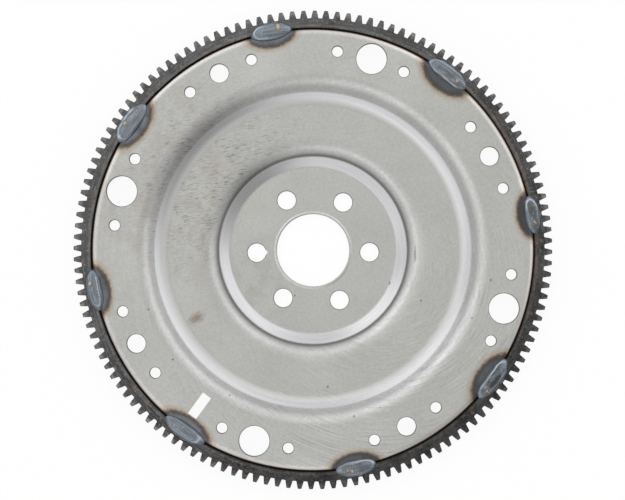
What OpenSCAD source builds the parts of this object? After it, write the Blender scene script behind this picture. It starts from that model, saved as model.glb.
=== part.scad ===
// Flexplate: a stamped steel drive plate with a starter ring gear welded round its rim.
// The crank side of the hub lies on z = 0 and +Z points to the converter side.
// X runs through the first crank bolt hole. Millimetres and degrees.

/* [Plate] */
// Thickness of the pressed steel sheet
plate_t = 3; // [2:0.1:4]
// Width of the rolled edge that shearing leaves round the front of the rim
rim_roll_w = 3.3; // [1:0.1:3.5]
// Slope of that edge where it ends at the rim
rim_roll_angle = 34; // [20:1:40]
// Edge break left on the front edge of each punched hole
hole_edge = 0.35; // [0.1:0.05:0.6]

/* [Hub] */
// Diameter of the flat hub face that the crank clamps
hub_d = 98.2; // [90:0.2:104]
// Diameter of the pilot hole
pilot_d = 43.3; // [36:0.1:48]
// Edge radius on the front of the pilot hole
pilot_edge_r = 1.5; // [0.5:0.1:2]
// Slope of the shallow cone round the hub face
hub_cone_angle = 19; // [10:1:30]
// Length of that cone along its slope
hub_cone_len = 4.3; // [2:0.1:6]
// Slope of the steep wall above the cone
hub_wall_angle = 45; // [35:1:55]
// Straight length of the steep wall
hub_wall_len = 0.9; // [0.1:0.1:2]
// Bend radius at the foot of the cone
hub_foot_r = 4.6; // [1:0.1:8]
// Bend radius where the cone turns up into the wall
hub_heel_r = 2.8; // [1:0.1:6]
// Bend radius of the shoulder above the wall
hub_brow_r = 9; // [6:0.1:14]
// Slope at which the shoulder starts to ease into the flat
hub_ease_angle = 10; // [4:1:14]
// Bend radius of that ease
hub_ease_r = 34; // [20:1:40]

/* [Dish] */
// Width of the flat flange between the dish and the rim
flange_w = 26.1; // [25:0.1:28]
// Slope at the end of the long sweep
dish_sweep_angle = 22; // [10:1:28]
// Bend radius of the long sweep
dish_sweep_r = 23.8; // [12:0.1:26]
// Slope of the outer wall
dish_wall_angle = 33; // [30:1:42]
// Straight length of the outer wall
dish_wall_len = 2.6; // [1:0.1:5]
// Bend radius of the crease where the sweep turns into the wall
dish_heel_r = 5.3; // [1:0.1:8]
// Bend radius of the rolled shoulder that meets the flange
dish_brow_r = 14.8; // [8:0.1:16]

/* [Crank holes] */
// Diameter of the circle of crank bolt holes
crank_pcd = 67.5; // [64:0.1:76]
// Diameter of each crank bolt hole
crank_hole_d = 11.1; // [8:0.1:12]
// Number of crank bolt holes
crank_holes = 6; // [6:1:8]
// Which hole is the index hole, counted from the one on X
index_hole = 3; // [1:1:5]
// How far the index hole is turned from its even place
index_turn = 4.6; // [0:0.1:8]
// How far the notch of the index hole cuts beyond its edge
notch_depth = 1.1; // [0.5:0.1:1.6]
// Included angle of that notch
notch_angle = 100; // [90:1:120]

/* [Flange holes] */
// How far inside the rim the circle of flange holes lies
hole_inset = 12.6; // [11.5:0.1:13.5]
// Number of converter bolt holes, and of access holes between them
flange_sets = 4; // [3:1:4]
// Angle of the first converter bolt hole
flange_start = 30; // [0:1:44]
// Diameter of each converter bolt hole
converter_hole_d = 11.1; // [8:0.1:13]
// Diameter of each access hole
access_hole_d = 18; // [12:0.1:20]
// Diameter of each small hole
small_hole_d = 6.4; // [4:0.1:7]
// Angle from a converter or access hole to the small hole on either side of it
small_hole_turn = 10; // [8:0.1:12]
// Length of the radial slot
slot_len = 15.4; // [8:0.1:16]
// Width of the slot
slot_w = 6; // [3:0.1:8]
// How far inside the rim the slot's centre lies
slot_inset = 16.7; // [16:0.1:17]
// Angle of the slot
slot_angle = 236; // [230:0.5:237]

/* [Ring gear] */
// Outside diameter over the tooth tips
gear_d = 283.64; // [281:0.02:287]
// Number of teeth
teeth = 132; // [130:1:136]
// Pressure angle of the tooth flanks
pressure_angle = 14.5; // [14.5:0.5:20]
// Tooth height above the pitch circle, as a share of the module
addendum_ratio = 1; // [0.8:0.05:1]
// Tooth depth below the pitch circle, as a share of the module
dedendum_ratio = 1.157; // [1.1:0.01:1.25]
// Thickness taken off each tooth for backlash
tooth_backlash = 0.05; // [0:0.01:0.2]
// Corner left at the root of each flank
root_corner = 0.4; // [0.2:0.05:0.5]
// Angle of the first tooth's middle
tooth_start = 1.6; // [0:0.1:2.7]
// Width of the ring along its axis
ring_w = 10; // [8:0.5:12]
// Wall of the ring between its bore and the tooth roots
ring_wall = 6.2; // [6:0.1:8]
// Chamfer on the outer edges of the ring blank
tip_chamfer = 0.6; // [0.2:0.1:1.5]
// Chamfer on the front edge of the ring's bore
bore_chamfer = 0.7; // [0.3:0.1:1.2]
// Radial clearance between the plate's rim and the ring's bore
rim_clearance = 0.05; // [0.01:0.01:0.2]

/* [Welds] */
// Number of weld beads
weld_beads = 8; // [6:1:8]
// Angle of the first bead's even place
weld_start = 12; // [10:0.5:14]
// Length of an even bead along the rim
weld_len = 24; // [16:0.5:25]
// Width of a bead across the joint
weld_w = 10.8; // [8:0.1:11]
// Height of a bead above the faces
weld_h = 2.2; // [1:0.1:3]
// How far a bead's middle lies outside the plate's rim
weld_offset = 0.7; // [0:0.1:0.8]
// Depth of weld metal in the groove between plate and ring
weld_root = 0.5; // [0.1:0.05:0.6]

/* [Hidden] */
$fa = 3;
$fs = 0.5;
// Largest turn between two points of a bend, and the steps of an edge's round
bend_step = 6;
edge_steps = 4;
// How far a cutter runs past the face it cuts
past = 1;

// How far each hand-laid bead lies off its even place, in degrees, and how much longer it is
weld_shift = [-0.8, -2.4, 1, 0.1, 0.6, -0.3, 1.3, -0.6];
weld_extra = [-1, 4, 0.5, 4, 1, 4.5, 0.5, 4.5];

pilot_r = pilot_d / 2;
crank_r = crank_pcd / 2;

tip_r = gear_d / 2;
tooth_module = tip_r / (teeth / 2 + addendum_ratio);
pitch_r = teeth * tooth_module / 2;
base_r = pitch_r * cos(pressure_angle);
root_r = pitch_r - dedendum_ratio * tooth_module;
tooth_half = (tooth_module * 45 - tooth_backlash * 90 / PI) / pitch_r;

// The ring's bore and the plate's rim inside it, from which the flange and the weld beads are placed
bore_r = root_r - ring_wall;
rim_r = bore_r - rim_clearance;
dish_r = rim_r - flange_w;
flange_r = rim_r - hole_inset;
slot_r = rim_r - slot_inset;
weld_r = rim_r + weld_offset;

function polar(r, a) = r * [cos(a), sin(a)];
function normal(a) = [-sin(a), cos(a)];
function last(list) = list[len(list) - 1];
function reversed(list) = [for (i = [len(list) - 1:-1:0]) list[i]];

// A run is [straight length, bend radius, turn], with a turn up towards the front positive.
// The trace is the front face's line through all runs, as [point, heading] stations.
function trace(runs, p, a, i = 0) =
    i == len(runs) ? [] :
    let (
        length = runs[i][0],
        turn = runs[i][2],
        side = sign(turn) * runs[i][1],
        centre = p + length * [cos(a), sin(a)] + side * normal(a),
        steps = ceil(abs(turn) / bend_step),
        first = length == 0 ? 1 : 0,
        bend = [for (k = [first:steps]) let (b = a + turn * k / steps) [centre - side * normal(b), b]],
        end = last(bend)
    )
    concat(bend, trace(runs, end[0], end[1], i + 1));

// A round on the front edge of the sheet, listed from angle a1 to angle a2
function edge_round(centre, r, a1, a2) =
    [for (k = [0:edge_steps]) centre + polar(r, a1 + (a2 - a1) * k / edge_steps)];

hub_start = [pilot_r + pilot_edge_r, plate_t];
hub_trace = trace([
    [hub_d / 2 - hub_start[0], hub_foot_r, hub_cone_angle],
    [hub_cone_len, hub_heel_r, hub_wall_angle - hub_cone_angle],
    [hub_wall_len, hub_brow_r, hub_ease_angle - hub_wall_angle],
    [0, hub_ease_r, -hub_ease_angle]
], hub_start, 0);
annulus_z = last(hub_trace)[0][1];
dish_bends = [
    [0, dish_sweep_r, dish_sweep_angle],
    [0, dish_heel_r, dish_wall_angle - dish_sweep_angle],
    [dish_wall_len, dish_brow_r, -dish_wall_angle]
];
dish_reach = last(trace(dish_bends, [0, 0], 0))[0][0];
dish_start = [dish_r - dish_reach, annulus_z];
dish_trace = concat([[dish_start, 0]], trace(dish_bends, dish_start, 0));
face_z = last(dish_trace)[0][1];
front = concat(hub_trace, dish_trace);

ring_back_z = face_z - ring_w;

// Involute function, and half the angle that a tooth spans at radius r
function inv(a) = tan(a) * 180 / PI - a;
function half_angle(r) = tooth_half + inv(pressure_angle) - inv(acos(base_r / r));

flank = [
    [root_r, half_angle(root_r) + root_corner / root_r * 180 / PI],
    [root_r + root_corner, half_angle(root_r + root_corner)],
    [pitch_r, half_angle(pitch_r)],
    [tip_r, half_angle(tip_r)]
];
tooth = concat([for (p = flank) [p[0], -p[1]]], reversed(flank));

// The pressed sheet before its bolt holes are punched
module plate_blank() {
    roll_r = rim_roll_w / sin(rim_roll_angle);
    rotate_extrude()
        polygon(concat(
            [[pilot_r, 0]],
            edge_round(hub_start - [0, pilot_edge_r], pilot_edge_r, 180, 90),
            [for (s = front) s[0]],
            edge_round([rim_r - rim_roll_w, face_z - roll_r], roll_r, 90, 90 - rim_roll_angle),
            [[rim_r, face_z - plate_t]],
            reversed([for (s = front) s[0] - plate_t * normal(s[1])])
        ));
}

// A punched hole at polar place r, a in a sheet whose front face is at height z
module hole(d, r, a, z) {
    bottom = -plate_t - past;
    translate([r * cos(a), r * sin(a), z])
        rotate_extrude()
            polygon([
                [0, bottom],
                [d / 2, bottom],
                [d / 2, -hole_edge],
                [d / 2 + hole_edge + past, past],
                [0, past]
            ]);
}

function crank_angle(i) = i * 360 / crank_holes + (i == index_hole ? index_turn : 0);

module crank_hole_set() {
    for (i = [0:crank_holes - 1])
        hole(crank_hole_d, crank_r, crank_angle(i), plate_t);
    reach = crank_hole_d / 2 + notch_depth;
    side = reach * cos(notch_angle / 2);
    rotate(crank_angle(index_hole))
        translate([crank_r - reach, 0, -past])
            linear_extrude(plate_t + 2 * past)
                polygon([[0, 0], polar(side, -notch_angle / 2), polar(side, notch_angle / 2)]);
}

module flange_hole_set() {
    for (i = [0:2 * flange_sets - 1]) {
        a = flange_start + i * 180 / flange_sets;
        hole(i % 2 == 0 ? converter_hole_d : access_hole_d, flange_r, a, face_z);
        for (side = [-1, 1])
            hole(small_hole_d, flange_r, a + side * small_hole_turn, face_z);
    }
}

module slot() {
    rotate(slot_angle)
        translate([slot_r, 0, face_z - plate_t / 2])
            cube([slot_len, slot_w, plate_t + 2 * past], center = true);
}

module flexplate_disc() {
    color([0.7, 0.7, 0.68])
        difference() {
            plate_blank();
            crank_hole_set();
            flange_hole_set();
            slot();
        }
}

// The turned ring before its teeth are cut: its chamfers run on past the tooth tips
module ring_blank() {
    r = tip_r + past;
    rise = tip_chamfer + past;
    rotate_extrude()
        polygon([
            [bore_r, ring_back_z],
            [tip_r - tip_chamfer, ring_back_z],
            [r, ring_back_z + rise],
            [r, face_z - rise],
            [tip_r - tip_chamfer, face_z],
            [bore_r + bore_chamfer, face_z],
            [bore_r, face_z - bore_chamfer]
        ]);
}

module ring_gear() {
    color([0.3, 0.29, 0.28])
        intersection() {
            ring_blank();
            translate([0, 0, ring_back_z - past])
                linear_extrude(ring_w + 2 * past)
                    polygon([
                        for (i = [0:teeth - 1])
                            for (p = tooth)
                                polar(p[0], tooth_start + i * 360 / teeth + p[1])
                    ]);
        }
}

// A long low bead turned about its own axis, which lies below the faces along the rim
module weld_form(length) {
    core_r = (weld_w * weld_w / 4 + weld_h * weld_h) / (2 * weld_h);
    half = length / 2;
    translate([weld_r, 0, face_z + weld_h - core_r])
        rotate([90, 0, 0])
            rotate_extrude()
                polygon(concat(
                    [[0, -half]],
                    [for (a = [-90:15:90]) [core_r - weld_h + weld_h * cos(a), half * sin(a)]],
                    [[0, half]]
                ));
}

module weld_bead(i) {
    color([0.36, 0.4, 0.44])
        rotate(weld_start + (i - 1) * 360 / weld_beads + weld_shift[i - 1])
            difference() {
                intersection() {
                    weld_form(weld_len + weld_extra[i - 1]);
                    translate([weld_r - weld_w, -weld_len, face_z - weld_root])
                        cube([2 * weld_w, 2 * weld_len, 2 * weld_h + weld_root]);
                }
                plate_blank();
                ring_blank();
            }
}

flexplate_disc();
ring_gear();
for (i = [1:weld_beads])
    weld_bead(i);
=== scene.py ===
import math
from functools import reduce
from math import cos, pi, radians, sin, tan

import bpy
import bmesh
from mathutils import Matrix, Vector


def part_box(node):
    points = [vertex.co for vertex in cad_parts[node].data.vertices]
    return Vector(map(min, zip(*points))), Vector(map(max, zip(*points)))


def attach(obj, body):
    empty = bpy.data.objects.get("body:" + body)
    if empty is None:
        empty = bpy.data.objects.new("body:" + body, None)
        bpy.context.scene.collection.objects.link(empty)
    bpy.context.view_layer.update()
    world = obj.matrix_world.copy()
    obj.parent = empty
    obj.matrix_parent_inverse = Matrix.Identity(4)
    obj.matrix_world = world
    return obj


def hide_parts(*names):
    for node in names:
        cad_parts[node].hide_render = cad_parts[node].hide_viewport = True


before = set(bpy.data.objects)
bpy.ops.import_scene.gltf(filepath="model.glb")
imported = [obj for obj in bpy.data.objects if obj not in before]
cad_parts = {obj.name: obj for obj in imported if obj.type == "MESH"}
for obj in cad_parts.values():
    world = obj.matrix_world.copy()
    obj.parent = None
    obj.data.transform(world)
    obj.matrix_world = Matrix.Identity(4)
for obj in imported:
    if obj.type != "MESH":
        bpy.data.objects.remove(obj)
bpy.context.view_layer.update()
mm = 0.001
photoTurn = 2.06  # degrees from the photograph's right to the part's x axis
joinGap = 1e-6  # points closer than this become one
print("frame loaded,", len(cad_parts), "nodes")


def inMm(values):
    return [value * mm for value in values]


def lengths(**sizes):
    return dict(zip(sizes, inMm(sizes.values())))


def polar(radius, degrees):
    return Vector((radius * cos(radians(degrees)), radius * sin(radians(degrees))))


def fromPhoto(across, up):
    # a place in mm from the axis, as the photograph shows it
    return Matrix.Rotation(radians(photoTurn), 2) @ Vector((across, up)) * mm


# Node helpers, shared by the shape trees and the finishes
def feed(tree, socket, value):
    if isinstance(value, bpy.types.NodeSocket):
        tree.links.new(value, socket)
    else:
        socket.default_value = value


def addNode(tree, kind, values=None, **settings):
    node = tree.nodes.new(kind)
    for name, value in settings.items():
        setattr(node, name, value)
    for name, value in (values or {}).items():
        feed(tree, node.inputs[name], value)
    return node


def output(tree, kind, values=None, **settings):
    return addNode(tree, kind, values, **settings).outputs[0]


def startNodes(owner):
    owner.use_nodes = True
    owner.node_tree.nodes.clear()
    return owner.node_tree


def calc(tree, operation, *values):
    return output(tree, "ShaderNodeMath", dict(enumerate(values)), operation=operation)


def times(tree, a, b):
    return calc(tree, "MULTIPLY", a, b)


def plus(tree, a, b):
    return calc(tree, "ADD", a, b)


def minus(tree, a, b):
    return calc(tree, "SUBTRACT", a, b)


def over(tree, a, b):
    return calc(tree, "DIVIDE", a, b)


def timesAdd(tree, a, b, c):
    return calc(tree, "MULTIPLY_ADD", a, b, c)


def fold(tree, operation, values):
    return reduce(lambda a, b: calc(tree, operation, a, b), values)


def vector(tree, operation, a, b=(0.0, 0.0, 0.0)):
    node = addNode(tree, "ShaderNodeVectorMath", {0: a, 1: b}, operation=operation)
    return node.outputs["Value" if operation in ("LENGTH", "DISTANCE", "DOT_PRODUCT") else "Vector"]


def parts(tree, place):
    return addNode(tree, "ShaderNodeSeparateXYZ", {0: place}).outputs[:3]


def join(tree, x=0.0, y=0.0, z=0.0):
    return output(tree, "ShaderNodeCombineXYZ", {0: x, 1: y, 2: z})


def remap(tree, value, low, high, toLow=0.0, toHigh=1.0):
    return output(tree, "ShaderNodeMapRange", {
        "Value": value, "From Min": low, "From Max": high, "To Min": toLow, "To Max": toHigh}, clamp=True)


# Shape helpers
def startTree(name, inputs):
    tree = bpy.data.node_groups.new(name, "GeometryNodeTree")
    ids = {}
    for label, kind in inputs.items():
        ids[label] = tree.interface.new_socket(label, in_out="INPUT", socket_type="NodeSocket" + kind).identifier
    tree.interface.new_socket("Geometry", in_out="OUTPUT", socket_type="NodeSocketGeometry")
    return tree, tree.nodes.new("NodeGroupInput").outputs, ids


def endTree(tree, geometry, material=None):
    if material:
        geometry = output(tree, "GeometryNodeSetMaterial", {0: geometry, "Material": material})
    addNode(tree, "NodeGroupOutput", {0: geometry})


def realized(tree, geometry):
    return output(tree, "GeometryNodeRealizeInstances", {0: geometry})


def merged(tree, geometry, gap):
    return output(tree, "GeometryNodeMergeByDistance", {0: geometry, "Distance": gap})


def note(tree, geometry, name, value, domain):
    store = addNode(
        tree, "GeometryNodeStoreNamedAttribute", {0: geometry, "Name": name}, data_type="FLOAT", domain=domain)
    feed(tree, next(socket for socket in store.inputs if socket.name == "Value" and socket.enabled), value)
    return store.outputs[0]


def shapeOf(tree, thing):
    return addNode(tree, "GeometryNodeObjectInfo", {"Object": thing}).outputs["Geometry"]


def rowAngle(tree, step, first):
    index = output(tree, "GeometryNodeInputIndex")
    return calc(tree, "RADIANS", timesAdd(tree, index, step, first))


def spread(tree, thing, count, place=(0.0, 0.0, 0.0), turn=(0.0, 0.0, 0.0)):
    # copies of an object, each with its own place or turn
    points = output(tree, "GeometryNodePoints", {"Count": count, "Position": place})
    copies = output(tree, "GeometryNodeInstanceOnPoints", {
        "Points": points, "Instance": shapeOf(tree, thing), "Rotation": turn})
    return realized(tree, copies)


def swung(tree, geometry, place, angle):
    # every point at its own place, turned about the axis
    spun = output(tree, "ShaderNodeVectorRotate", {"Vector": place, "Angle": angle}, rotation_type="Z_AXIS")
    return output(tree, "GeometryNodeSetPosition", {0: geometry, "Position": spun})


def linkNew(name, data):
    piece = bpy.data.objects.new(name, data)
    bpy.context.scene.collection.objects.link(piece)
    return piece


def linkWork(name, work):
    mesh = bpy.data.meshes.new(name)
    work.to_mesh(mesh)
    work.free()
    return linkNew(name, mesh)


def runTree(name, tree, ids, sizes):
    piece = linkNew(name, bpy.data.meshes.new(name + "Seed"))
    modifier = piece.modifiers.new("shape", "NODES")
    modifier.node_group = tree
    for label, value in sizes.items():
        modifier[ids[label]] = value
    depsgraph = bpy.context.evaluated_depsgraph_get()
    plain = bpy.data.meshes.new_from_object(piece.evaluated_get(depsgraph))
    piece.modifiers.remove(modifier)
    piece.data = plain
    plain.name = name
    return piece


def cleanMesh(mesh, gap=1e-7):
    work = bmesh.new()
    work.from_mesh(mesh)
    bmesh.ops.remove_doubles(work, verts=work.verts, dist=gap)
    bmesh.ops.dissolve_degenerate(work, edges=work.edges, dist=gap)
    bmesh.ops.recalc_face_normals(work, faces=work.faces)
    openEdges = sum(1 for edge in work.edges if not edge.is_manifold)
    work.to_mesh(mesh)
    work.free()
    return openEdges


def finishPiece(piece, node, sharp=None, flatNormal=0.99995):
    # with a sharp angle, level faces stay flat and bends and round walls are smooth; without one all is smooth
    openEdges = cleanMesh(piece.data)
    if sharp:
        piece.data.set_sharp_from_angle(angle=radians(sharp))
    for polygon in piece.data.polygons:
        polygon.use_smooth = not sharp or abs(polygon.normal.z) < flatNormal
    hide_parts(node)
    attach(piece, "root")
    print(piece.name, "made:", len(piece.data.polygons), "faces,", openEdges, "open edges")


# Finish helpers; in the finishes, limits are from, to and then the shares there, and bands are radii in mm:
# start, full, full, end
def startFinish(name):
    material = bpy.data.materials.new(name)
    tree = startNodes(material)
    shader = addNode(tree, "ShaderNodeBsdfPrincipled")
    addNode(tree, "ShaderNodeOutputMaterial", {"Surface": shader.outputs[0]})
    place = addNode(tree, "ShaderNodeTexCoord").outputs["Object"]
    return material, tree, shader, place


def endFinish(tree, shader, tone, rough, height, finish):
    strength, distance = finish["bump"]
    bump = output(tree, "ShaderNodeBump", {"Height": height, "Strength": strength, "Distance": distance * mm})
    values = {"Base Color": tone, "Metallic": finish["metallic"], "Roughness": rough, "Normal": bump}
    for name, value in values.items():
        feed(tree, shader.inputs[name], value)


def noise(tree, place, scale, detail=3.0, rough=0.55):
    return output(tree, "ShaderNodeTexNoise", {"Vector": place, "Scale": scale, "Detail": detail, "Roughness": rough})


def attribute(tree, name):
    return addNode(tree, "ShaderNodeAttribute", attribute_name=name).outputs["Fac"]


def mixColour(tree, share, a, b):
    node = addNode(tree, "ShaderNodeMix", data_type="RGBA")
    values = {"Factor_Float": share, "A_Color": a, "B_Color": b}
    for socket in node.inputs:
        if socket.identifier in values:
            value = values[socket.identifier]
            feed(tree, socket, (*value, 1.0) if isinstance(value, tuple) else value)
    return next(socket for socket in node.outputs if socket.identifier == "Result_Color")


def layered(tree, tone, layers):
    for share, colour in layers:
        tone = mixColour(tree, share, tone, colour)
    return tone


def coat(tree, finish, name, field):
    return remap(tree, field, *finish[name + "Limits"]), finish[name]


def turned(tree, place, centre=(0.0, 0.0), degrees=0.0, size=(1.0, 1.0)):
    # coordinates about a centre, turned back by an angle and divided by a size
    return output(tree, "ShaderNodeMapping", {
        "Vector": place, "Location": (*centre, 0.0), "Rotation": (0.0, 0.0, radians(degrees)),
        "Scale": (*size, 1.0)}, vector_type="TEXTURE")


def flatten(tree, place):
    return vector(tree, "MULTIPLY", place, (1.0, 1.0, 0.0))


def roughen(tree, field, grain, amount, middle=0.5):
    # a field whose edge a noise makes ragged
    return timesAdd(tree, minus(tree, grain, middle), amount, field)


def ringBand(tree, reach, start, full, fullEnd, end):
    # 1 between two radii in mm, fading out to both sides
    return times(tree, remap(tree, reach, start * mm, full * mm), remap(tree, reach, end * mm, fullEnd * mm))


def roundLines(tree, flat, reach, size, detail=3.0, rough=0.6):
    # noise drawn out round the axis, with no seam; size is the width in mm and the length in degrees
    width, length = size
    stretch = math.degrees(1.0) / length
    turnedPlace = vector(tree, "MULTIPLY", vector(tree, "NORMALIZE", flat), (stretch, stretch, 0.0))
    outward = join(tree, z=over(tree, reach, width * mm))
    return noise(tree, vector(tree, "ADD", turnedPlace, outward), 1.0, detail, rough)


# Painted shade: the groove between plate and ring is painted near black in both finishes, for the shadow deep in the
# joint
grooveShade = {
    "colour": (0.014, 0.013, 0.012), "plateEdge": (130.3, 130.75), "ringEdge": (131.85, 131.65),
    "deep": (2.6, 1.8),  # mm under the flange face: none below the first, full above the second
}
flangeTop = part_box("ring_gear")[1][2]


def grooveShadeShare(tree, place, reach, edges):
    front = remap(tree, parts(tree, place)[2], *(flangeTop - depth for depth in inMm(grooveShade["deep"])))
    return times(tree, remap(tree, reach, *inMm(edges)), front)


# The ring gear: one pitch of it, repeated round the axis
ring = {
    **lengths(tipR=141.82, backlash=0.05, rootRound=0.55, width=10.0, wall=6.2, tipChamfer=0.6, boreChamfer=0.7,
              edge=0.22, backChamfer=0.4),
    "teeth": 132, "pressure": 14.5, "addendum": 1.0, "dedendum": 1.157, "first": 1.6,
    "rootSteps": 3, "flankSteps": 5, "joinGap": 5e-6, "sharp": 25.0,
}
toothModule = ring["tipR"] / (ring["teeth"] / 2 + ring["addendum"])
pitchR = ring["teeth"] * toothModule / 2
rootR = pitchR - ring["dedendum"] * toothModule
boreR = rootR - ring["wall"]
ringFinish = {
    "metallic": 1.0, "bump": (0.25, 0.08), "rough": (0.3, 0.8, 0.36, 0.5),
    "fine": (900.0, 4.0, 0.65), "broad": (60.0, 3.0), "patch": (260.0, 3.0), "grit": (650.0, 2.0, 0.6),
    "shade": (0.022, 0.022, 0.022), "base": (0.066, 0.066, 0.066), "baseLimits": (0.3, 0.52),
    "worn": (0.15, 0.15, 0.149), "wornLimits": (0.52, 0.84), "lighterToward": 124.0, "lighterShare": 0.12,
    "rust": (0.12, 0.086, 0.064), "rustLimits": (0.54, 0.68, 0.0, 0.6),
    "scratch": (0.26, 0.258, 0.25), "scratchSide": (-1.0, -0.3, 0.15, 1.0),
    "latheSize": (1.1, 6.0), "latheLimits": (0.5, 0.74, 0.0, 0.36), "gritLimits": (0.58, 0.7, 0.0, 0.5),
    # the bore edge and the tooth tips
    "wearAndSheen": (((132.2, 132.6, 133.2, 133.8), 0.32), ((138.4, 140.6, 142.0, 142.2), 0.8)),
    "rubbedLimits": (0.4, 0.62, 0.1),
    "boreRust": (0.15, 0.108, 0.075), "boreBand": (131.2, 131.5, 132.2, 132.9), "boreToward": 26.0,
    "boreSide": (0.6, 0.92), "boreLimits": (0.38, 0.56, 0.3, 0.75),
}


def makeRingSteel():
    material, tree, shader, place = startFinish("ringSteel")
    finish = ringFinish
    fine, broad, patch, grit = (noise(tree, place, *finish[name]) for name in ("fine", "broad", "patch", "grit"))
    flat = flatten(tree, place)
    reach = vector(tree, "LENGTH", flat)

    def toward(angle):
        # from -1 to 1 across the ring
        return vector(tree, "DOT_PRODUCT", place, (*polar(1.0 / ring["tipR"], angle), 0.0))

    # the ring is lighter towards one side and darker towards the other
    lean = toward(finish["lighterToward"])
    oxide = timesAdd(tree, lean, finish["lighterShare"], times(tree, plus(tree, fine, broad), 0.5))
    tone = mixColour(tree, remap(tree, oxide, *finish["baseLimits"]), finish["shade"], finish["base"])
    layers = [coat(tree, finish, "worn", oxide), coat(tree, finish, "rust", patch)]
    # lathe lines, grit and rubbed edges, fewer on the dark side
    wear = [remap(tree, roundLines(tree, flat, reach, finish["latheSize"]), *finish["latheLimits"]),
            remap(tree, grit, *finish["gritLimits"])]
    for band, share in finish["wearAndSheen"]:
        wear.append(times(tree, ringBand(tree, reach, *band), remap(tree, patch, *finish["rubbedLimits"], share)))
    scratchSide = remap(tree, lean, *finish["scratchSide"])
    layers += [(times(tree, share, scratchSide), finish["scratch"]) for share in wear]
    # painted shade in the groove at the joint
    layers.append((grooveShadeShare(tree, place, reach, grooveShade["ringEdge"]), grooveShade["colour"]))
    # rust on the bore edge, most on one side
    boreRust = fold(tree, "MULTIPLY", (
        remap(tree, toward(finish["boreToward"]), *finish["boreSide"]), remap(tree, patch, *finish["boreLimits"]),
        ringBand(tree, reach, *finish["boreBand"])))
    layers.append((boreRust, finish["boreRust"]))
    endFinish(tree, shader, layered(tree, tone, layers), remap(tree, fine, *finish["rough"]), fine, finish)
    return material


def flankLine():
    # half of one tooth from the middle of the gap to the middle of the tip, as (radius, angle)
    baseR = pitchR * cos(radians(ring["pressure"]))
    toothHalf = math.degrees((pi * toothModule / 2 - ring["backlash"]) / 2 / pitchR)

    def involute(angle):
        return tan(angle) - angle

    def halfAngle(radius):
        lean = involute(radians(ring["pressure"])) - involute(math.acos(min(1.0, baseR / radius)))
        return toothHalf + math.degrees(lean)

    corner = ring["rootRound"]
    flankStart = halfAngle(rootR + corner)
    line = [(rootR, 180 / ring["teeth"]), (rootR, flankStart + math.degrees(corner / rootR))]
    for k in range(1, ring["rootSteps"]):
        turn = radians(90 * k / ring["rootSteps"])
        rise = corner * (1 - cos(turn))
        line.append((rootR + rise, flankStart + math.degrees(corner * (1 - sin(turn)) / rootR)))
    for k in range(ring["flankSteps"] + 1):
        radius = rootR + corner + (ring["tipR"] - rootR - corner) * k / ring["flankSteps"]
        line.append((radius, halfAngle(radius)))
    return line


def makeToothSector():
    half = flankLine()
    outline = [(r, -a) for r, a in half] + [(r, a) for r, a in half[::-1]]
    spots = [polar(r, a) for r, a in outline]
    halfPitch = 180 / ring["teeth"]
    backZ = faceZ - ring["width"]
    tip, edge, chamfer = ring["tipR"], ring["edge"], ring["tipChamfer"]

    def level(z, inset, cap):
        points = []
        for i, (r, a) in enumerate(outline):
            spot = spots[i].copy()
            if inset and 0 < i < len(outline) - 1:
                before, after = spots[i] - spots[i - 1], spots[i + 1] - spots[i]
                along = before.normalized() + after.normalized()
                spot += inset * Vector((-along.y, along.x)).normalized()
            elif inset:
                spot = polar(r - inset, a)
            if spot.length > cap:
                spot *= cap / spot.length
            points.append((spot.x, spot.y, z))
        return points

    # depth from either face, inset and largest radius
    steps = ((0.0, edge, tip - chamfer), (edge, 0.0, tip - chamfer + edge), (chamfer, 0.0, tip))
    levels = [level(faceZ - depth, *size) for depth, *size in steps]
    levels += [level(backZ + depth, *size) for depth, *size in steps[::-1]]
    bore = [(boreR + ring["boreChamfer"], faceZ), (boreR, faceZ - ring["boreChamfer"]),
            (boreR, backZ + ring["backChamfer"]), (boreR + ring["backChamfer"], backZ)]
    work = bmesh.new()
    outer = [[work.verts.new(p) for p in row] for row in levels]
    inner = []
    for radius, z in bore:
        inner.append([work.verts.new((*polar(radius, a), z)) for a in (-halfPitch, 0.0, halfPitch)])
    for high, low in zip(outer, outer[1:]):
        for k in range(len(high) - 1):
            work.faces.new((high[k], low[k], low[k + 1], high[k + 1]))
    for high, low in zip(inner, inner[1:]):
        for k in range(len(high) - 1):
            work.faces.new((high[k], high[k + 1], low[k + 1], low[k]))
    work.faces.new(inner[0][::-1] + outer[0])
    work.faces.new(outer[-1][::-1] + inner[-1])
    return linkWork("toothSector", work)


def makeRingGear():
    sector = makeToothSector()
    tree, given, ids = startTree("cutTeeth", {"Sector": "Object", "Teeth": "Int", "First": "Float"})
    angle = rowAngle(tree, over(tree, 360.0, given["Teeth"]), given["First"])
    teeth = spread(tree, given["Sector"], given["Teeth"], turn=join(tree, z=angle))
    endTree(tree, merged(tree, teeth, ring["joinGap"]), ringSteel)
    piece = runTree("ringGear", tree, ids, {"Sector": sector, "Teeth": ring["teeth"], "First": ring["first"]})
    bpy.data.objects.remove(sector)
    return piece


# The pressed plate: one section turned about the axis, then punched
plate = {
    **lengths(sheet=3.0, pilotR=21.65, pilotEdge=0.6, pilotLip=0.28, hubR=49.1, flange=26.1, rimRoll=3.3, rimGap=0.05),
    # runs of straight length and bend radius in mm, and turn in degrees
    "hub": ((0.0, 4.6, 19.0), (5.25, 2.8, 23.0), (0.0, 12.6, -34.0), (0.0, 34.0, -8.0)),
    "dish": ((0.0, 19.0, 19.0), (1.85, 5.3, 14.0), (2.6, 14.8, -33.0)),
    "lipSlope": 16.0, "rimSlope": 34.0, "bendStep": 2.5, "edgeSteps": 6, "around": 360, "sharp": 40.0,
}
rimR = boreR - plate["rimGap"]


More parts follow.
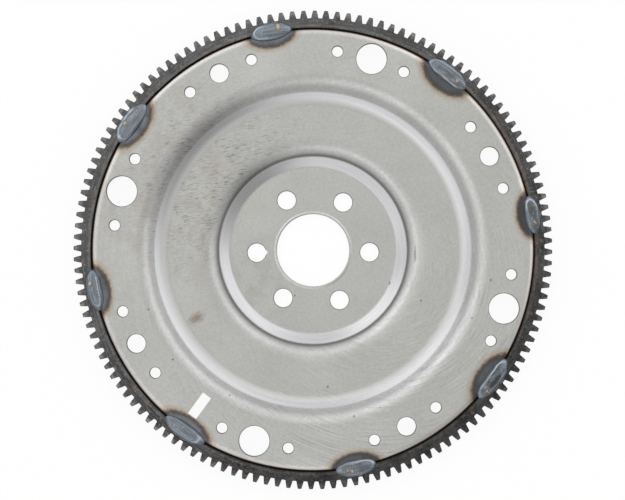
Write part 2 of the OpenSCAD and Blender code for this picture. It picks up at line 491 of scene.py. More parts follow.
def pressLine(runs, point, heading):
    # front line of the sheet through the runs, as (point, heading)
    def normal(angle):
        return Vector((-sin(angle), cos(angle)))
    stations = [(point.copy(), heading)]
    for length, radius, turn in runs:
        if length > 0:
            point = point + length * mm * Vector((cos(heading), sin(heading)))
            stations.append((point.copy(), heading))
        side = math.copysign(radius * mm, turn)
        centre = point + side * normal(heading)
        steps = math.ceil(abs(turn) / plate["bendStep"])
        for k in range(1, steps + 1):
            angle = heading + radians(turn) * k / steps
            stations.append((centre - side * normal(angle), angle))
        point, heading = stations[-1]
    return stations


def roundEdge(centre, radius, first, last):
    steps = plate["edgeSteps"]
    return [centre + polar(radius, first + (last - first) * k / steps) for k in range(steps + 1)]


hubLine = pressLine(plate["hub"], Vector((plate["hubR"], plate["sheet"])), 0.0)
annulusZ = hubLine[-1][0].y
dishReach = pressLine(plate["dish"], Vector((0.0, 0.0)), 0.0)[-1][0].x
dishLine = pressLine(plate["dish"], Vector((rimR - plate["flange"] - dishReach, annulusZ)), 0.0)
faceZ = dishLine[-1][0].y
frontLine = hubLine + dishLine
backLine = [point - plate["sheet"] * Vector((-sin(a), cos(a))) for point, a in frontLine]
sectionLine = [Vector((plate["pilotR"], 0.0))]
# the punched pilot edge stands up a little and falls away to the sheet
lipTop = plate["sheet"] + plate["pilotLip"]
sectionLine += roundEdge(Vector((plate["pilotR"], lipTop)) + plate["pilotEdge"] * Vector((1, -1)),
                         plate["pilotEdge"], 180, 90 - plate["lipSlope"])
lipFall = (sectionLine[-1].y - plate["sheet"]) / tan(radians(plate["lipSlope"]))
sectionLine.append(Vector((sectionLine[-1].x + lipFall, plate["sheet"])))
sectionLine += [point for point, angle in frontLine]
rollR = plate["rimRoll"] / sin(radians(plate["rimSlope"]))
sectionLine += roundEdge(Vector((rimR - plate["rimRoll"], faceZ - rollR)), rollR, 90, 90 - plate["rimSlope"])
sectionLine += [Vector((rimR, faceZ - plate["sheet"]))] + backLine[::-1]
print("section of", len(sectionLine), "points, flange face at", round(faceZ / mm, 3), "mm")


def wireLoop(name, points):
    mesh = bpy.data.meshes.new(name)
    count = len(points)
    mesh.from_pydata([(p.x, 0.0, p.y) for p in points], [(i, (i + 1) % count) for i in range(count)], [])
    return linkNew(name, mesh)


holes = {
    **lengths(edge=0.35, past=1.0, crankR=33.75, crank=11.1, notch=1.1, inset=12.6, converter=11.1, access=18.0,
              small=6.4, slotInset=16.7, slotLength=15.4, slotWidth=6.0),
    "edgeSteps": 3, "sides": 48, "indexAngle": 184.6, "notchAngle": 100.0, "first": 30.0, "smallTurn": 10.0,
    "slotAngle": 236.0,
}


def skinRows(name, rows):
    # a closed solid through rows of points, each row a loop
    work = bmesh.new()
    rows = [[work.verts.new(point) for point in row] for row in rows]
    for low, high in zip(rows, rows[1:]):
        for k in range(len(low)):
            n = (k + 1) % len(low)
            work.faces.new((low[k], low[n], high[n], high[k]))
    work.faces.new(rows[0][::-1])
    work.faces.new(rows[-1])
    bmesh.ops.recalc_face_normals(work, faces=work.faces)
    return linkWork(name, work)


def holeCutter(name, width):
    # a punch with a flared collar that rounds the front edge of the hole
    radius, edge, past, sides = width / 2, holes["edge"], holes["past"], holes["sides"]
    line = [Vector((radius, -plate["sheet"] - past))]
    for k in range(holes["edgeSteps"] + 1):
        angle = 90 * k / holes["edgeSteps"]
        line.append(Vector((radius + edge, -edge)) + polar(edge, 180 - angle))
    line.append(Vector((radius + edge, past)))
    return skinRows(name, [[(*polar(point.x, 360 * k / sides), point.y) for k in range(sides)] for point in line])


def prismCutter(name, corners, degrees, low, high):
    spin = Matrix.Rotation(radians(degrees), 2)
    return skinRows(name, [[(*(spin @ corner), z) for corner in corners] for z in (low, high)])


def notchCorners():
    reach = holes["crank"] / 2 + holes["notch"]
    halfAngle = holes["notchAngle"] / 2
    side = reach * cos(radians(halfAngle))
    tip = Vector((holes["crankR"] - reach, 0.0))
    return [tip, tip + polar(side, -halfAngle), tip + polar(side, halfAngle)]


def slotCorners():
    half = Vector((holes["slotLength"], holes["slotWidth"])) / 2
    middle = Vector((rimR - holes["slotInset"], 0.0))
    return [middle + Vector((x * half.x, y * half.y)) for x, y in ((-1, -1), (1, -1), (1, 1), (-1, 1))]


def makeHoleRow():
    # a row of cutters round the axis
    tree, given, _ = startTree("holeRow", {
        "Cutter": "Object", "Count": "Int", "Radius": "Float", "Height": "Float", "First": "Float", "Step": "Float"})
    angle = rowAngle(tree, given["Step"], given["First"])
    x, y = (times(tree, given["Radius"], calc(tree, side, angle)) for side in ("COSINE", "SINE"))
    row = spread(tree, given["Cutter"], given["Count"], join(tree, x, y, given["Height"]))
    endTree(tree, note(tree, row, "punched", 1.0, "FACE"))
    return tree


def sweptSection(tree, section, around):
    # each step round the axis is one row of a grid, laid on a turned copy of the section
    sectionMesh = shapeOf(tree, section)
    count = addNode(tree, "GeometryNodeAttributeDomainSize", {0: sectionMesh}, component="MESH").outputs["Point Count"]
    rowLength = plus(tree, count, 1.0)
    grid = output(tree, "GeometryNodeMeshGrid", {
        "Size X": 1.0, "Size Y": 1.0, "Vertices X": plus(tree, around, 1.0), "Vertices Y": rowLength})
    index = output(tree, "GeometryNodeInputIndex")
    column = calc(tree, "MODULO", calc(tree, "MODULO", index, rowLength), count)
    turn = calc(tree, "FLOOR", over(tree, plus(tree, index, 0.5), rowLength))
    where = addNode(tree, "GeometryNodeSampleIndex", {0: sectionMesh}, data_type="FLOAT_VECTOR", domain="POINT")
    tree.links.new(output(tree, "GeometryNodeInputPosition"), where.inputs["Value"])
    tree.links.new(column, where.inputs["Index"])
    angle = over(tree, times(tree, turn, 2 * pi), around)
    return merged(tree, swung(tree, grid, where.outputs[0], angle), joinGap)


def makePressedPlate():
    section = wireLoop("plateSection", sectionLine)
    cutters = {name: holeCutter(name + "Punch", holes[name]) for name in ("crank", "converter", "access", "small")}
    sheet, past = plate["sheet"], holes["past"]
    notch = prismCutter("notchPunch", notchCorners(), holes["indexAngle"], -past, sheet + past)
    slot = prismCutter("slotPunch", slotCorners(), holes["slotAngle"], faceZ - sheet - past, faceZ + past)
    rowTree = makeHoleRow()
    tree, given, ids = startTree("pressAndPunch", {
        "Section": "Object", "Around": "Int", "Crank circle": "Float", "Flange circle": "Float", "Face": "Float",
        "Sheet": "Float"})
    blank = sweptSection(tree, given["Section"], given["Around"])
    crank, flange, first = ("Crank circle", "Sheet"), ("Flange circle", "Face"), holes["first"]
    # cutter, its circle and level, number, first angle, step
    rows = [("crank", crank, 3, 0.0, 60.0), ("crank", crank, 2, 240.0, 60.0),
            ("crank", crank, 1, holes["indexAngle"], 0.0),
            ("converter", flange, 4, first, 90.0), ("access", flange, 4, first + 45.0, 90.0),
            ("small", flange, 8, first - holes["smallTurn"], 45.0),
            ("small", flange, 8, first + holes["smallTurn"], 45.0)]
    punched = addNode(tree, "GeometryNodeMeshBoolean", {"Mesh 1": blank}, operation="DIFFERENCE", solver="EXACT")
    for name, (circle, height), number, start, step in rows:
        row = addNode(tree, "GeometryNodeGroup", node_tree=rowTree)
        values = {"Cutter": cutters[name], "Count": number, "First": start, "Step": step,
                  "Radius": given[circle], "Height": given[height]}
        for label, value in values.items():
            feed(tree, row.inputs[label], value)
        tree.links.new(row.outputs[0], punched.inputs["Mesh 2"])
    for cutter in (notch, slot):
        tree.links.new(note(tree, shapeOf(tree, cutter), "punched", 1.0, "FACE"), punched.inputs["Mesh 2"])
    endTree(tree, realized(tree, punched.outputs[0]), plateSteel)
    piece = runTree("pressedPlate", tree, ids, {
        "Section": section, "Around": plate["around"], "Crank circle": holes["crankR"],
        "Flange circle": rimR - holes["inset"], "Face": faceZ, "Sheet": sheet})
    for helper in (section, notch, slot, *cutters.values()):
        bpy.data.objects.remove(helper)
    return piece


plateFinish = {
    "metallic": 1.0, "bump": (0.12, 0.05), "rough": (0.4, 0.29),
    "fine": (650.0, 4.0, 0.6), "broad": (26.0, 3.0),
    "light": (0.55, 0.55, 0.53), "dark": (0.35, 0.35, 0.334), "mottle": (0.45, 0.62), "levelLimits": (0.21, 0.86),
    # brush swirls: centre and width in mm, runs per radian
    "swirlAt": (41.0, -13.0), "swirlFrom": -45.0, "swirlWidth": 0.7, "swirlRuns": 3.0, "swirlGrain": (1.0, 3.0, 0.6),
    "swirlSide": (-20.0 * mm, 50.0 * mm, 0.25, 1.0), "swirlFlange": (94.0 * mm, 102.0 * mm, 0.95, 1.5),
    "swirlPatch": (45.0, 2.0), "swirlLimits": (0.38, 0.64, 0.35, 1.35),
    # short dashes: middle, reach, start and size in mm
    "dash": (0.185, 0.167, 0.15), "dashAt": (-58.0, 40.0), "dashTurn": 8.0, "dashReach": (74.0, 16.0),
    "dashFrom": (57.0, 62.0), "dashSize": (4.6, 0.75), "dashGrain": (1.0, 2.0), "dashLimits": (0.48, 0.68),
    "clump": (110.0, 2.0), "clumpLimits": (0.4, 0.6, 0.25, 1.0),
    # faint stains: across, up, reach, share, colour
    "stains": ((-100.0, 40.0, 90.0, 0.6, (0.36, 0.31, 0.26)), (-30.0, -20.0, 32.0, 0.9, (0.33, 0.325, 0.31))),
    "stainGrain": (70.0, 4.0, 0.65), "stainLimits": (0.46, 0.66),
    "burnished": (0.41, 0.41, 0.407), "drawn": (0.472, 0.472, 0.468), "drawnSize": (0.7, 26.0),
    "drawnLimits": (0.3, 0.7), "burnishRough": 0.26, "burnishRagged": 6.0,
    "burnish": ((49.4, 50.4, 54.9, 55.9), (85.5, 90.5, 93.4, 94.6)),
    # a painted highlight on the dish sweep: colour, band and share
    "wearAndSheen": (0.62, 0.62, 0.61), "sweepSheenBand": (86.6, 88.2, 89.4, 91.4), "sweepSheenShare": 0.42,
    # grime and painted shade in the hub crease: colour, band and share
    "grimeAndCreaseShade": (0.13, 0.125, 0.115), "crease": (55.6, 56.3, 56.8, 58.3), "creaseShare": 0.55,
    # specks and one long scuff: across and up from the axis and half sizes in mm; how ragged, limits
    "mark": (0.13, 0.12, 0.11),
    "marks": ((((-97.4, -35.3, 0.55, 0.55), (-83.1, -64.9, 0.6, 0.5), (-49.4, -86.2, 0.5, 0.5),
                (64.3, -30.0, 0.5, 0.5), (105.3, -17.8, 0.5, 0.6), (8.8, -81.3, 0.6, 0.5), (24.3, -98.5, 0.5, 0.6),
                (45.8, -19.7, 0.5, 0.9), (-10.9, -27.0, 0.5, 0.5), (94.3, -40.4, 0.4, 0.4), (39.8, -93.3, 0.4, 0.4)),
               1.6, (1.5, 0.7, 0.0, 0.75)),
              (((60.8, -2.7, 0.55, 4.2),), 2.2, (1.4, 0.5, 0.0, 0.6))),
    "rust": (0.25, 0.195, 0.15), "rustAt": (-69.5, -40.6, 5.4, 3.6), "rustTurn": 30.0, "rustSmear": (3.6, 0.55),
    "rustGrain": (1.0, 3.0), "rustRagged": 1.9, "rustLimits": (1.15, 0.3, 0.0, 0.82),
    # a rusty line and a painted highlight line at the rim: colour, band, shares
    "rim": (((0.27, 0.2, 0.15), (129.9, 130.3, 130.6, 130.9), (0.2, 0.58)),
            ((0.7, 0.6, 0.53), (128.7, 129.4, 130.0, 130.4), (0.3, 0.62))),
    "rimLimits": (0.35, 0.6),
    # heat round the beads: straw, brown and soot, then a blue film
    "heat": (((0.37, 0.295, 0.205), (1.38, 1.1, 0.0, 0.78)), ((0.13, 0.096, 0.076), (1.16, 1.0)),
             ((0.058, 0.056, 0.056), (1.04, 0.9))),
    "heatGrain": (480.0, 4.0, 0.65), "heatRagged": 0.24, "filmLimits": (1.1, 1.0, 0.0),
    "blued": (0.165, 0.178, 0.2), "bluedLimits": (1.0, 0.76), "bluedPatch": (150.0, 3.0),
    "patchLimits": (0.3, 0.58, 0.3, 1.0),
    # sheared walls and edges of the holes, painted dark: partly the sheared metal, partly painted shade
    "cut": (0.065, 0.062, 0.058), "cutLimits": (0.45, 0.15), "punched": (0.13, 0.126, 0.12),
}


def spotField(tree, flat, spots, turn=0.0):
    # 1 at the edge of the nearest spot, smaller inside it
    return fold(tree, "MINIMUM", [
        vector(tree, "LENGTH", turned(tree, flat, fromPhoto(across, up), turn + photoTurn, inMm((wide, tall))))
        for across, up, wide, tall in spots])


def heatField(tree, place, flat):
    # 1 at the edge of the burnt patch round the nearest bead, smaller inside it; and the film of that patch
    fars, films = [], []
    for angle, laid in zip(weldAngles, bead["laid"]):
        size = (laid["burn"] * mm, laid["size"][0] / 2 * mm + bead["burnPast"])
        fars.append(vector(tree, "LENGTH", turned(tree, flat, polar(weldLine, angle), angle, size)))
        films.append(remap(tree, fars[-1], *plateFinish["filmLimits"], laid["film"]))
    grain = noise(tree, place, *plateFinish["heatGrain"])
    heat = roughen(tree, fold(tree, "MINIMUM", fars), grain, plateFinish["heatRagged"])
    return heat, fold(tree, "MAXIMUM", films)


def brushSwirls(tree, place, flat, reach):
    # long brush swirls about a centre off the axis, about 0
    finish = plateFinish
    local = turned(tree, flat, fromPhoto(*finish["swirlAt"]), finish["swirlFrom"] + photoTurn)
    x, y, _ = parts(tree, local)
    swirlPlace = join(tree, over(tree, vector(tree, "LENGTH", local), finish["swirlWidth"] * mm),
                      times(tree, calc(tree, "ARCTAN2", y, x), finish["swirlRuns"]))
    patch = noise(tree, place, *finish["swirlPatch"])
    share = fold(tree, "MULTIPLY", (
        remap(tree, x, *finish["swirlSide"]), remap(tree, patch, *finish["swirlLimits"]),
        remap(tree, reach, *finish["swirlFlange"])))
    return times(tree, minus(tree, noise(tree, swirlPlace, *finish["swirlGrain"]), 0.5), share)


def shortDashes(tree, flat, reach):
    finish = plateFinish
    local = turned(tree, flat, fromPhoto(*finish["dashAt"]), finish["dashTurn"] + photoTurn)
    dashes = noise(tree, turned(tree, local, size=inMm(finish["dashSize"])), *finish["dashGrain"])
    return fold(tree, "MULTIPLY", (
        remap(tree, vector(tree, "LENGTH", local), *inMm(finish["dashReach"])),
        remap(tree, reach, *inMm(finish["dashFrom"])), remap(tree, dashes, *finish["dashLimits"]),
        remap(tree, noise(tree, flat, *finish["clump"]), *finish["clumpLimits"])))


def makePlateSteel():
    material, tree, shader, place = startFinish("plateSteel")
    finish = plateFinish
    flat = flatten(tree, place)
    reach = vector(tree, "LENGTH", flat)
    fine, broad = (noise(tree, place, *finish[name]) for name in ("fine", "broad"))
    swirl = brushSwirls(tree, place, flat, reach)
    broadShare, fineShare = finish["mottle"]
    mottle = timesAdd(tree, broad, broadShare, timesAdd(tree, fine, fineShare, swirl))
    level = remap(tree, mottle, *finish["levelLimits"])
    tone = mixColour(tree, level, finish["dark"], finish["light"])
    layers = [(shortDashes(tree, flat, reach), finish["dash"])]
    patchy = remap(tree, noise(tree, flat, *finish["stainGrain"]), *finish["stainLimits"])
    for across, up, far, share, colour in finish["stains"]:
        away = vector(tree, "DISTANCE", flat, (*fromPhoto(across, up), 0.0))
        layers.append((times(tree, patchy, remap(tree, away, far * mm, 0.0, 0.0, share)), colour))
    # burnished bends, with drawn lines round the axis; a painted highlight on the dish sweep; grime and painted shade
    # in the hub crease
    ragged = timesAdd(tree, swirl, finish["burnishRagged"] * mm, reach)
    burnish = fold(tree, "MAXIMUM", [ringBand(tree, ragged, *band) for band in finish["burnish"]])
    lines = roundLines(tree, flat, reach, finish["drawnSize"])
    drawn = mixColour(tree, remap(tree, lines, *finish["drawnLimits"]), finish["burnished"], finish["drawn"])
    layers += [(burnish, drawn),
               (times(tree, ringBand(tree, ragged, *finish["sweepSheenBand"]), finish["sweepSheenShare"]), finish["wearAndSheen"]),
               # grime and painted shade darken the hub crease
               (times(tree, ringBand(tree, reach, *finish["crease"]), finish["creaseShare"]), finish["grimeAndCreaseShade"])]
    # marks of handling, and rust
    for spots, rough, limits in finish["marks"]:
        grit = roughen(tree, spotField(tree, flat, spots), fine, rough)
        layers.append((remap(tree, grit, *limits), finish["mark"]))
    smearPlace = turned(tree, flat, degrees=finish["rustTurn"] + photoTurn, size=inMm(finish["rustSmear"]))
    rust = roughen(tree, spotField(tree, flat, (finish["rustAt"],), finish["rustTurn"]),
                   noise(tree, smearPlace, *finish["rustGrain"]), finish["rustRagged"])
    layers.append(coat(tree, finish, "rust", rust))
    # a rusty line, and a painted highlight on the rounded rim edge
    for colour, band, shares in finish["rim"]:
        patch = remap(tree, broad, *finish["rimLimits"], *shares)
        layers.append((times(tree, ringBand(tree, reach, *band), patch), colour))
    # heat of the welds, and painted shade in the groove at the rim
    heat, film = heatField(tree, place, flat)
    layers += [(remap(tree, heat, *limits), colour) for colour, limits in finish["heat"]]
    patch = noise(tree, place, *finish["bluedPatch"])
    blued = fold(tree, "MULTIPLY", (
        remap(tree, heat, *finish["bluedLimits"]), remap(tree, patch, *finish["patchLimits"]), film))
    # painted shade in the groove at the joint
    layers += [(blued, finish["blued"]), (grooveShadeShare(tree, place, reach, grooveShade["plateEdge"]), grooveShade["colour"])]
    # steep walls and hole edges painted dark: partly sheared metal, partly painted shade
    facing = parts(tree, addNode(tree, "ShaderNodeNewGeometry").outputs["Normal"])[2]
    layers += [(attribute(tree, "punched"), finish["punched"]),
               coat(tree, finish, "cut", calc(tree, "ABSOLUTE", facing))]
    rough = remap(tree, level, 0.0, 1.0, *finish["rough"])
    rough = output(tree, "ShaderNodeMix", {0: burnish, 2: rough, 3: finish["burnishRough"]})
    endFinish(tree, shader, layered(tree, tone, layers), rough, mottle, finish)
    return material


# The weld beads, laid over the joint of plate and ring
bead = {
    **lengths(offset=0.7, height=2.2, sink=0.45, burnPast=2.2, ripple=0.02, pitch=1.7, lump=0.5, ridge=0.5,
              crater=0.45),
    "start": 12.0, "wobble": 0.12, "along": 81, "across": 41, "seedStep": 3.7,
    # noises: scale and detail
    "swellGrain": (1.3, 1.0), "waveGrain": (3.0, 2.0), "shoeGrain": (2.4, 2.0), "lumpGrain": (2.2, 3.0),
    # dome, ripples, horseshoe, pool and slag spots: a power, factors, and shares of the half length and half width
    "domePower": 0.55, "bow": 0.5, "waveJitter": 7.0, "shoeJitter": 0.45, "shoeDeep": 0.45, "ridgeWide": 0.2,
    "armBlend": 0.25, "armFade": 0.35, "poolEdge": (1.0, 0.6), "poolEnd": (0.95, 0.65), "poolDeep": 0.6,
    "spotTall": 2.2, "craterGrow": 1.7, "slagGrow": 0.85, "slagRise": 0.9,
    # each bead: degrees off its even place, darkness of its pool, length and width in mm, reach of the burn in mm,
    # its blue-grey film, a horseshoe ridge (its end, its half width, where its arms stop), strength of its outer
    # and inner arm, and two slag spots
    "laid": [dict(zip(("shift", "pool", "size", "burn", "film", "shoe", "arms", "slag", "fleck"), row)) for row in (
        (-0.8, 0.8, (23.0, 9.8), 8.8, 0.15, (-0.8, 0.66, -0.1), (0.7, 0.8), (0.45, 0.05, 0.17), (-0.41, 0.3, 0.05)),
        (-2.4, 0.45, (28.0, 10.6), 11.0, 0.35, (-0.86, 0.7, 0.9), (0.5, 0.5), (0.47, 0.0, 0.15), (-0.13, -0.26, 0.06)),
        (1.0, 0.15, (24.5, 11.2), 9.2, 1.0, (-0.82, 0.75, -0.2), (0.8, 0.2), (0.36, 0.38, 0.22), (0.5, 0.2, 0.08)),
        (0.1, 0.2, (28.0, 11.6), 9.8, 1.0, (-0.82, 0.72, 0.7), (0.9, 0.25), (-0.17, 0.46, 0.16), (0.6, 0.22, 0.1)),
        (0.6, 0.3, (25.0, 10.0), 9.2, 0.75, (-0.78, 0.5, 0.85), (0.1, 0.6), (0.33, 0.34, 0.17), (0.58, 0.48, 0.07)),
        (-0.3, 0.2, (28.5, 10.2), 8.9, 1.0, (-0.72, 0.6, -0.35), (0.9, 0.5), (0.47, 0.13, 0.12), (0.1, -0.3, 0.06)),
        (1.3, 0.5, (24.5, 10.4), 8.6, 0.5, (-0.86, 0.72, 0.3), (0.2, 0.7), (0.23, 0.3, 0.17), (0.42, 0.14, 0.1)),
        (-0.6, 1.3, (28.5, 10.4), 9.9, 0.45, (-0.85, 0.62, 0.9), (0.2, 0.75), (0.56, 0.2, 0.15), (0.42, 0.3, 0.06)),
    )],
}
weldLine = rimR + bead["offset"]
weldAngles = [bead["start"] + i * 360 / len(bead["laid"]) + laid["shift"] for i, laid in enumerate(bead["laid"])]
weldFinish = {
    "metallic": 0.85, "bump": (0.25, 0.1), "rough": (0.3, 0.8, 0.24, 0.38), "slagRough": 0.25,
    "fine": (700.0, 4.0, 0.6), "patch": (230.0, 3.0),
    "base": (0.155, 0.178, 0.2), "streak": (0.26, 0.295, 0.33), "streakScale": (60.0, 60.0, 0.0), "streaks": 9.0,
    "streakGrain": (1.0, 2.0), "streakLimits": (0.48, 0.66),
    "pool": (0.06, 0.067, 0.064), "poolLimits": (0.3, 0.6),
    "ridge": (0.42, 0.46, 0.5), "ridgePatch": (0.9, 0.45), "ridgeLimits": (0.2, 0.9),
    "crust": (0.17, 0.135, 0.1), "crustRagged": 2.2, "crustLimits": (0.25, 0.5, 0.0, 0.75),
    "slag": (0.46, 0.41, 0.32), "slagLimits": (0.62, 1.0),
}


def makeWeldMetal():
    material, tree, shader, place = startFinish("weldMetal")
    finish = weldFinish
    fine, patch = (noise(tree, place, *finish[name]) for name in ("fine", "patch"))
    crest, pool, slag, flow = (attribute(tree, name) for name in ("crest", "pool", "slag", "flow"))
    # light streaks that run with the flow of the metal
    along = vector(tree, "MULTIPLY", place, finish["streakScale"])
    flowPlace = vector(tree, "ADD", along, join(tree, z=times(tree, flow, finish["streaks"])))
    streak = remap(tree, noise(tree, flowPlace, *finish["streakGrain"]), *finish["streakLimits"])
    tone = mixColour(tree, streak, finish["base"], finish["streak"])
    # the crest of the ridge is painted lighter: a painted highlight
    lift = roughen(tree, crest, patch, *finish["ridgePatch"])
    crust = roughen(tree, slag, fine, finish["crustRagged"])
    layers = [(times(tree, pool, remap(tree, patch, *finish["poolLimits"])), finish["pool"]),
              coat(tree, finish, "ridge", lift), coat(tree, finish, "crust", crust), coat(tree, finish, "slag", crust)]
    rough = timesAdd(tree, slag, finish["slagRough"], remap(tree, fine, *finish["rough"]))
    endFinish(tree, shader, layered(tree, tone, layers), rough, fine, finish)
    return material


def makeBeadTree():
    floats = ("Length", "Width", "Height", "Sink", "Ripple", "Pitch", "Wobble", "Lump", "Ridge", "Pool", "Crater",
              "Seed", "Line", "Face", "Turn")
    tree, given, ids = startTree("layBead", {
        **dict.fromkeys(floats, "Float"), **dict.fromkeys(("Shoe", "Arms", "Slag", "Fleck"), "Vector"),
        **dict.fromkeys(("Along", "Across"), "Int")})
    grid = output(tree, "GeometryNodeMeshGrid", {
        "Size X": 2.0, "Size Y": 2.0, "Vertices X": given["Along"], "Vertices Y": given["Across"]})

    def rounded(a, b):
        return times(tree, a, calc(tree, "SQRT", timesAdd(tree, times(tree, b, b), -0.5, 1.0)))

    def bell(value):
        return calc(tree, "EXPONENT", times(tree, times(tree, value, value), -1.0))

    # the square grid becomes a disc: x along the rim, y outwards
    u, v, _ = parts(tree, output(tree, "GeometryNodeInputPosition"))
    x, y = rounded(u, v), rounded(v, u)
    flat = join(tree, x, y)
    far = vector(tree, "DOT_PRODUCT", flat, flat)
    dome = calc(tree, "POWER", calc(tree, "MAXIMUM", minus(tree, 1.0, far), 0.0), bead["domePower"])

    def roughness(name):
        scale, detail = bead[name]
        grain = output(tree, "ShaderNodeTexNoise", {
            "Vector": flat, "W": given["Seed"], "Scale": scale, "Detail": detail}, noise_dimensions="4D")
        return minus(tree, grain, 0.5)

    swell = timesAdd(tree, roughness("swellGrain"), given["Wobble"], 1.0)
    run = times(tree, times(tree, x, times(tree, given["Length"], 0.5)), swell)
    side = times(tree, times(tree, y, times(tree, given["Width"], 0.5)), swell)
    bow = times(tree, times(tree, side, y), bead["bow"])
    wave = over(tree, plus(tree, run, bow), given["Pitch"])
    jitter = times(tree, roughness("waveGrain"), bead["waveJitter"])
    wave = calc(tree, "COSINE", timesAdd(tree, wave, 2 * pi, jitter))

    # a horseshoe ridge round the molten pool, open towards the end where the bead stops
    shoeEnd, shoeHalf, armStop = parts(tree, given["Shoe"])
    outerArm, innerArm, _ = parts(tree, given["Arms"])
    behind = calc(tree, "MAXIMUM", minus(tree, plus(tree, shoeEnd, bead["shoeDeep"]), x), 0.0)
    shoe = join(tree, over(tree, behind, bead["shoeDeep"]), over(tree, y, shoeHalf))
    around = timesAdd(tree, roughness("shoeGrain"), bead["shoeJitter"], vector(tree, "LENGTH", shoe))
    ridge = bell(over(tree, minus(tree, around, 1.0), bead["ridgeWide"]))
    ridge = times(tree, ridge, remap(tree, y, -bead["armBlend"], bead["armBlend"], innerArm, outerArm))
    ridge = times(tree, ridge, remap(tree, x, minus(tree, armStop, bead["armFade"]), armStop, 1.0, 0.0))
    pool = times(tree, remap(tree, around, *bead["poolEdge"]), remap(tree, x, *bead["poolEnd"]))

    def spot(place, grow):
        cx, cy, size = parts(tree, place)
        size = times(tree, size, grow)
        dx = over(tree, minus(tree, x, cx), size)
        dy = over(tree, minus(tree, y, cy), times(tree, size, bead["spotTall"]))
        return bell(vector(tree, "LENGTH", join(tree, dx, dy)))

    crater = spot(given["Slag"], bead["craterGrow"])
    slag = calc(tree, "MAXIMUM", *(spot(given[name], bead["slagGrow"]) for name in ("Slag", "Fleck")))
    lift = times(tree, wave, given["Ripple"])
    for field, amount in ((ridge, given["Ridge"]), (pool, times(tree, given["Ridge"], -bead["poolDeep"])),
                          (roughness("lumpGrain"), given["Lump"]), (crater, times(tree, given["Crater"], -1.0)),
                          (slag, times(tree, given["Crater"], bead["slagRise"]))):
        lift = timesAdd(tree, field, amount, lift)
    body = times(tree, plus(tree, plus(tree, given["Height"], given["Sink"]), lift), dome)
    height = minus(tree, body, given["Sink"])

    # the bead follows the curve of the rim
    sag = over(tree, times(tree, run, run), times(tree, given["Line"], -2.0))
    radial = plus(tree, plus(tree, given["Line"], side), sag)
    back = times(tree, run, -1.0)

    def laid(geometry, z):
        place = join(tree, radial, back, plus(tree, given["Face"], z))
        return swung(tree, geometry, place, calc(tree, "RADIANS", given["Turn"]))

    noted = grid
    for name, value in {"crest": ridge, "pool": times(tree, pool, given["Pool"]), "slag": slag, "flow": around}.items():
        noted = note(tree, noted, name, value, "POINT")
    joined = addNode(tree, "GeometryNodeJoinGeometry")
    bottom = laid(grid, times(tree, given["Sink"], -1.0))
    for half in (laid(noted, height), output(tree, "GeometryNodeFlipFaces", {0: bottom})):
        tree.links.new(half, joined.inputs[0])
    endTree(tree, realized(tree, merged(tree, joined.outputs[0], joinGap)), weldMetal)
    return tree, ids


plateSteel = makePlateSteel()
ringSteel = makeRingSteel()
weldMetal = makeWeldMetal()
print("finishes made")

finishPiece(makePressedPlate(), "flexplate_disc", plate["sharp"])
finishPiece(makeRingGear(), "ring_gear", ring["sharp"])
beadTree, beadIds = makeBeadTree()
beadSizes = {name.capitalize(): bead[name] for name in (
    "height", "sink", "ripple", "pitch", "wobble", "lump", "ridge", "crater", "along", "across")}
for number, (angle, laid) in enumerate(zip(weldAngles, bead["laid"]), 1):
    length, width = inMm(laid["size"])
    weldBead = runTree(f"weldBead{number}", beadTree, beadIds, {
        **beadSizes, "Length": length, "Width": width, "Pool": laid["pool"], "Shoe": laid["shoe"],
        "Arms": (*laid["arms"], 0.0), "Slag": laid["slag"], "Fleck": laid["fleck"],
        "Seed": bead["seedStep"] * number, "Line": weldLine, "Face": faceZ, "Turn": angle})
    finishPiece(weldBead, f"weld_bead_{number}")


# Floor, light and camera
studio = {
    "floorSize": 14.0, "floorDrop": 0.02 * mm, "floorTone": (0.9, 0.9, 0.9), "floorWhite": 0.93,
    # height of the direction (0 level, 1 straight up), brightness, share of blue
    "sky": ((0.0, 0.3, 1.02), (0.2, 0.48, 1.02), (0.41, 0.78, 1.03), (0.64, 1.0, 1.03), (0.79, 1.24, 1.03),
            (0.87, 1.3, 1.03), (0.94, 1.22, 1.0), (0.978, 1.02, 0.98), (1.0, 0.84, 0.96)),
    "skyPeak": 1.4,
    "gapToward": 316.0, "gapReach": (0.0, 0.4), "gapSide": (0.5, 0.1), "gapDepth": 0.45,
    "leanToward": 82.0, "lean": (0.91, 1.09),
    "lampTone": (0.97, 0.985, 1.04),
    # azimuth, elevation, distance, width, height, radiance
    "lamps": ((135.0, 47.0, 2.2, 1.0, 1.35, 0.75), (36.0, 51.0, 2.2, 2.0, 0.9, 0.6), (234.0, 66.0, 2.2, 2.0, 0.6, 0.5)),
}


def makeFloor():
    half, drop = studio["floorSize"] / 2, -studio["floorDrop"]
    mesh = bpy.data.meshes.new("floor")
    mesh.from_pydata([(x * half, y * half, drop) for x, y in ((-1, -1), (1, -1), (1, 1), (-1, 1))], [], [(0, 1, 2, 3)])
    floor = linkNew("floor", mesh)
    material = bpy.data.materials.new("paleFloor")
    tree = startNodes(material)
    matt = output(tree, "ShaderNodeBsdfDiffuse", {"Color": (*studio["floorTone"], 1.0)})
    white = output(tree, "ShaderNodeEmission", {"Color": (1.0, 1.0, 1.0, 1.0), "Strength": 1.0})
    path = addNode(tree, "ShaderNodeLightPath").outputs
    seen = fold(tree, "MAXIMUM", [path[f"Is {ray} Ray"] for ray in ("Camera", "Glossy", "Transmission")])
    share = times(tree, seen, studio["floorWhite"])
    mixed = output(tree, "ShaderNodeMixShader", {0: share, 1: matt, 2: white})
    addNode(tree, "ShaderNodeOutputMaterial", {"Surface": mixed})
    mesh.materials.append(material)


def aimed(azimuth, elevation):
    flat = polar(cos(radians(elevation)), azimuth + photoTurn)
    return Vector((flat.x, flat.y, sin(radians(elevation))))


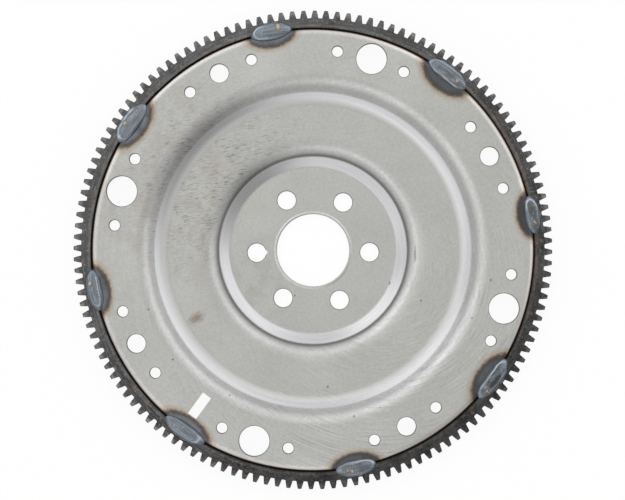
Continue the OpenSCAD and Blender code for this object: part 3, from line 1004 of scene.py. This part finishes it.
def makeSky():
    # a soft dome, brighter high up, with one dim gap on the side where no lamp stands
    sky = bpy.data.worlds.new("studioSky")
    tree = startNodes(sky)
    toward = addNode(tree, "ShaderNodeTexCoord").outputs["Generated"]
    ramp = addNode(tree, "ShaderNodeValToRGB", {0: parts(tree, toward)[2]})
    stops = ramp.color_ramp.elements
    while len(stops) < len(studio["sky"]):
        stops.new(0.5)
    for stop, (spot, level, blue) in zip(stops, studio["sky"]):
        level /= studio["skyPeak"]
        stop.position = spot
        stop.color = (level, level, level * blue, 1.0)

    def along(azimuth):
        return vector(tree, "DOT_PRODUCT", toward, aimed(azimuth, 0.0))

    deep = remap(tree, along(studio["gapToward"]), *studio["gapReach"])
    narrow = remap(tree, calc(tree, "ABSOLUTE", along(studio["gapToward"] + 90.0)), *studio["gapSide"])
    narrow.node.interpolation_type = "SMOOTHSTEP"
    gap = remap(tree, times(tree, deep, narrow), 0.0, 1.0, 1.0, studio["gapDepth"])
    lean = remap(tree, along(studio["leanToward"]), -1.0, 1.0, *studio["lean"])
    strength = times(tree, times(tree, gap, lean), studio["skyPeak"])
    glow = output(tree, "ShaderNodeBackground", {"Color": ramp.outputs[0], "Strength": strength})
    addNode(tree, "ShaderNodeOutputWorld", {"Surface": glow})
    return sky


def makeLamp(number, azimuth, elevation, distance, width, height, radiance):
    data = bpy.data.lights.new(f"softbox{number}", "AREA")
    data.shape = "RECTANGLE"
    data.size, data.size_y = width, height
    data.energy = radiance * pi * width * height
    data.color = studio["lampTone"]
    lamp = linkNew(f"softbox{number}", data)
    out = aimed(azimuth, elevation)
    lamp.location = out * distance
    lamp.rotation_euler = out.to_track_quat("Z", "Y").to_euler()


view = {
    "frameWidth": 370.15 * mm, "distance": 1.184, "sensor": 36.0, "clip": (0.05, 50.0),
    "foot": (11.0 * mm, -17.0 * mm), "middle": (-0.24 * mm, -0.06 * mm),
}


def makeCamera():
    data = bpy.data.cameras.new("photoView")
    data.sensor_fit = "HORIZONTAL"
    data.sensor_width = view["sensor"]
    data.lens = view["sensor"] * view["distance"] / view["frameWidth"]
    data.clip_start, data.clip_end = view["clip"]
    camera = linkNew("photoView", data)
    # it stands a little off the axis and looks straight down, with the picture shifted back over the part
    foot, middle = Vector(view["foot"]), Vector(view["middle"])
    data.shift_x, data.shift_y = (middle - foot) / view["frameWidth"]
    eye = Matrix.Rotation(radians(photoTurn), 2) @ foot
    camera.location = (eye.x, eye.y, faceZ + view["distance"])
    camera.rotation_euler.z = radians(photoTurn)
    bpy.context.scene.camera = camera


makeFloor()
for number, lamp in enumerate(studio["lamps"], 1):
    makeLamp(number, *lamp)
makeCamera()
bpy.context.scene.world = makeSky()
bpy.context.scene.view_settings.view_transform = "Standard"
print("floor, lamps and camera set")
